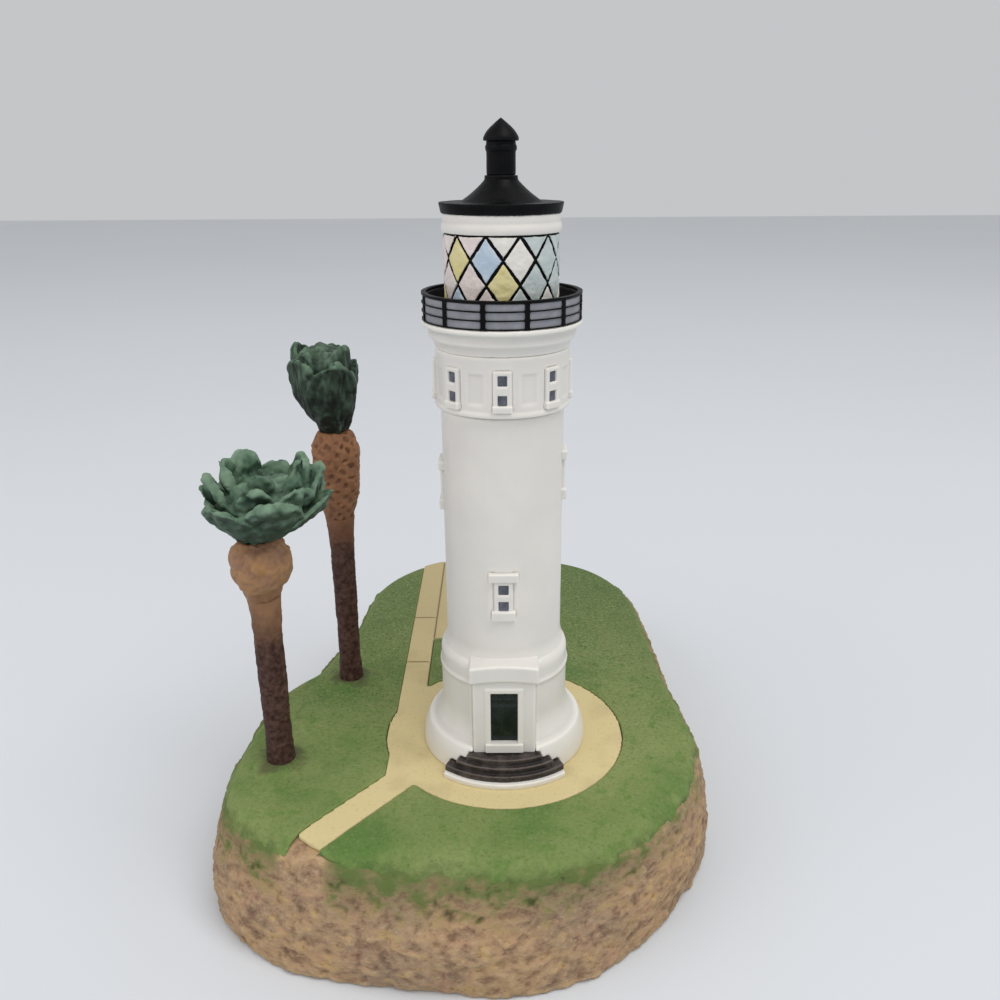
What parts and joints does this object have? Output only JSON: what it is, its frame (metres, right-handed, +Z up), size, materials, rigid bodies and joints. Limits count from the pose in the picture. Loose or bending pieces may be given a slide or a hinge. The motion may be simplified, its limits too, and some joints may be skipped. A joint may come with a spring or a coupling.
{
  "type": "lighthouse figurine",
  "caption": "White lighthouse ornament with a black lantern roof and a railed gallery, on a rock base with lawn, path and palms; a free-standing shelf or garden decoration.",
  "frame": {"origin": "on the tower's axis, at the underside of the felt pad", "axes": "+Z up along the tower's axis, -Y towards the door side (front), +X to the right seen from the front"},
  "size_m": [0.1163, 0.1614, 0.1653],
  "materials": {
    "felt": "short green felt",
    "rock": "rough cast stone resin, dry brushed",
    "turf": "painted resin with a fine grain",
    "paving": "painted resin, flat",
    "tower_white": "off-white painted resin, satin",
    "step_brown": "dark brown painted resin, satin",
    "door_green": "green-black painted resin, gloss",
    "window_slate": "slate blue painted resin",
    "parapet_grey": "blue-grey painted resin",
    "iron_black": "black painted resin, satin",
    "pane_white": "milk white painted resin",
    "pane_pink": "pinkish white painted resin",
    "pane_yellow": "straw yellow painted resin",
    "pane_blue": "light blue painted resin",
    "pane_grey": "pale grey-blue painted resin",
    "bark": "dark brown painted resin, rough",
    "boot_tan": "tan painted resin, rough",
    "leaf_green": "blue-green painted resin",
    "wire_steel": "plain steel wire"
  },
  "bodies": {
    "root": {"felt_pad": "felt", "base_rock": "rock", "lawn": "turf", "path_paving": "paving", "tower_plinth": "tower_white", "tower_shaft": "tower_white", "step_slab": "tower_white", "entry_steps": "step_brown", "door_portal": "tower_white", "door_leaf": "door_green", "door_sill": "tower_white", "shaft_window_frames": "tower_white", "shaft_window_panes": "window_slate", "watch_room": "tower_white", "watch_window_frames": "tower_white", "watch_window_panes": "window_slate", "gallery_deck": "tower_white", "gallery_parapet": "parapet_grey", "gallery_railing": "iron_black", "lantern_core": "iron_black", "lantern_panes_white": "pane_white", "lantern_panes_pink": "pane_pink", "lantern_panes_yellow": "pane_yellow", "lantern_panes_blue": "pane_blue", "lantern_panes_grey": "pane_grey", "lantern_cornice": "tower_white", "roof_cone": "iron_black", "vent_stack": "iron_black", "vent_cap": "iron_black", "front_palm_trunk": "bark", "front_palm_boot": "boot_tan", "front_palm_crown": "leaf_green", "front_palm_wire": "wire_steel", "rear_palm_trunk": "bark", "rear_palm_boot": "boot_tan", "rear_palm_crown": "leaf_green", "rear_palm_wire": "wire_steel"}
  },
  "joints": []
}
